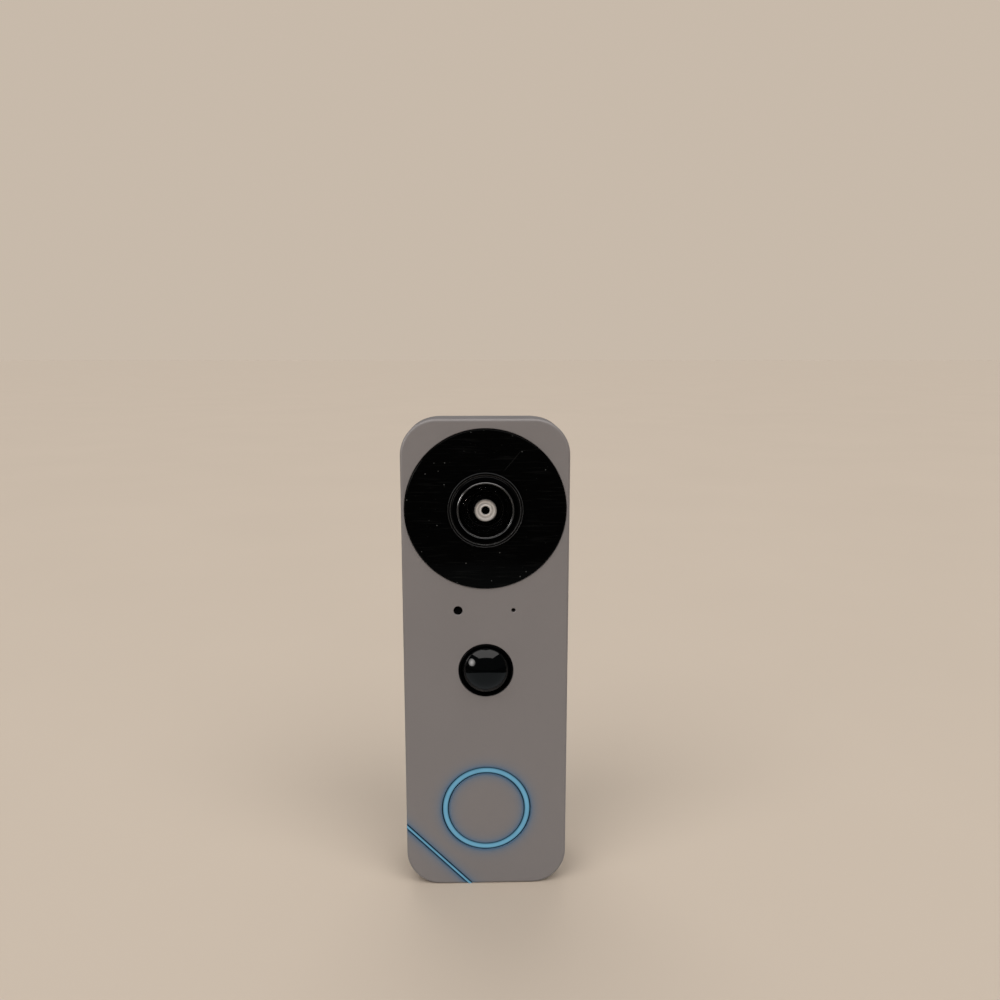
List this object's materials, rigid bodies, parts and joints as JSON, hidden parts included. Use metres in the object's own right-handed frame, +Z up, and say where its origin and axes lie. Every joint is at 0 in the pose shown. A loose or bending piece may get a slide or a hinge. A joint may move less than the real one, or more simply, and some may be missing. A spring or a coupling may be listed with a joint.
{
  "type": "video doorbell",
  "caption": "Tall rounded video doorbell with a round black camera window, a dark motion dome, a round button with a light ring, and a corner light line.",
  "frame": {"origin": "middle of the wall plate's back face, on the wall", "axes": "+Z up, +X to the right seen from in front, +Y into the wall; the front faces -Y"},
  "size_m": [0.044, 0.0276, 0.13],
  "materials": {
    "shell_grey": "fine satin, warm grey",
    "housing_plastic": "fine grain, darker grey",
    "dark_plastic": "fine grain, black",
    "white_plastic": "satin",
    "window_black": "polished, passes infrared",
    "bezel_black": "polished with turned steps",
    "dome_black": "polished outside, ribbed inside",
    "light_guide": "frosted, lit light blue",
    "light_pipe": "smoked, polished",
    "lens_metal": "black anodised",
    "lens_glass": "coated",
    "filter_glass": "coated",
    "iris_grey": "satin",
    "can_metal": "tin plated",
    "steel": "zinc plated",
    "spring_steel": "drawn wire",
    "dark_steel": "black",
    "magnet": "nickel plated",
    "copper": "bright",
    "brass": "satin",
    "board_green": "lacquered board",
    "board_black": "lacquered board",
    "chip_black": "moulded",
    "sensor_chip": "covered silicon",
    "led_white": "moulded",
    "led_smoke": "smoked",
    "cell_wrap": "wrapped",
    "flex_amber": "film",
    "cone_paper": "pressed paper",
    "foam_black": "foam",
    "seal_rubber": "silicone",
    "wire_sleeve": "insulation"
  },
  "bodies": {
    "wall_plate": {"wall_plate": "dark_plastic", "security_screw": "steel"},
    "unit": {"rear_housing": "housing_plastic", "front_frame": "dark_plastic", "housing_seal": "seal_rubber", "housing_screws": "steel", "camera_window": "window_black", "window_tape": "foam_black", "camera_bezel": "bezel_black", "lens_barrel": "lens_metal", "front_lens": "lens_glass", "inner_lenses": "lens_glass", "iris_ring": "iris_grey", "lens_holder": "dark_plastic", "filter_tray": "dark_plastic", "filter_coil": "copper", "image_sensor": "sensor_chip", "sensor_board": "board_green", "rear_board_screws": "steel", "night_led_board": "board_black", "night_leds": "led_smoke", "pir_bezel": "bezel_black", "pir_lens": "dome_black", "pir_sensor": "can_metal", "light_sensor_pipe": "light_pipe", "light_sensor": "sensor_chip", "microphone": "can_metal", "microphone_boot": "seal_rubber", "button_guide": "dark_plastic", "button_seal": "seal_rubber", "button_spring": "spring_steel", "button_light_ring": "light_guide", "indicator_leds": "led_white", "switch_body": "chip_black", "front_board": "board_green", "front_board_screws": "steel", "supercapacitor": "cell_wrap", "main_board": "board_green", "processor_shield": "can_metal", "radio_module": "can_metal", "power_parts": "chip_black", "board_flex": "flex_amber", "camera_flex": "flex_amber", "antenna": "copper", "speaker_basket": "dark_steel", "speaker_cone": "cone_paper", "speaker_gasket": "foam_black", "speaker_leads": "wire_sleeve", "terminals": "brass", "terminal_screw_left": "brass", "terminal_screw_right": "brass", "reset_switch": "chip_black"},
    "front_shell": {"faceplate": "shell_grey", "corner_light_bar": "light_guide"},
    "call_button": {"button_cap": "shell_grey"},
    "switch_plunger": {"switch_plunger": "white_plastic"},
    "night_filter": {"filter_shuttle": "white_plastic", "filter_panes": "filter_glass"},
    "filter_rotor": {"filter_rotor": "magnet"},
    "reset_button": {"reset_button": "white_plastic"}
  },
  "joints": [
    {"name": "unit_swing", "type": "hinge", "parent": "wall_plate", "child": "unit", "pos_m": [0, -0.0022, 0.0596], "axis": [-1, 0, 0], "range_deg": [0, 18]},
    {"name": "shell_pull", "type": "slide", "parent": "unit", "child": "front_shell", "axis": [0, -1, 0], "range_m": [0, 0.02]},
    {"name": "call_press", "type": "slide", "parent": "unit", "child": "call_button", "axis": [0, 1, 0], "range_m": [0, 0.0006], "stiffness_N_per_m": 900, "springref_m": -0.0012, "deforming": ["button_spring"]},
    {"name": "switch_press", "type": "slide", "parent": "unit", "child": "switch_plunger", "axis": [0, 1, 0], "range_m": [0, 0.0006]},
    {"name": "filter_slide", "type": "slide", "parent": "unit", "child": "night_filter", "axis": [1, 0, 0], "range_m": [0, 0.007]},
    {"name": "rotor_turn", "type": "hinge", "parent": "unit", "child": "filter_rotor", "pos_m": [0, -0.012, 0.0292], "axis": [0, 1, 0], "range_deg": [0, 50]},
    {"name": "reset_press", "type": "slide", "parent": "unit", "child": "reset_button", "axis": [0, -1, 0], "range_m": [0, 0.0004], "stiffness_N_per_m": 900, "springref_m": -0.0008}
  ],
  "couplings": [
    {"joint": "switch_press", "follows": "call_press", "ratio": 1},
    {"joint": "rotor_turn", "follows": "filter_slide", "rad_per_m": 124.67}
  ]
}
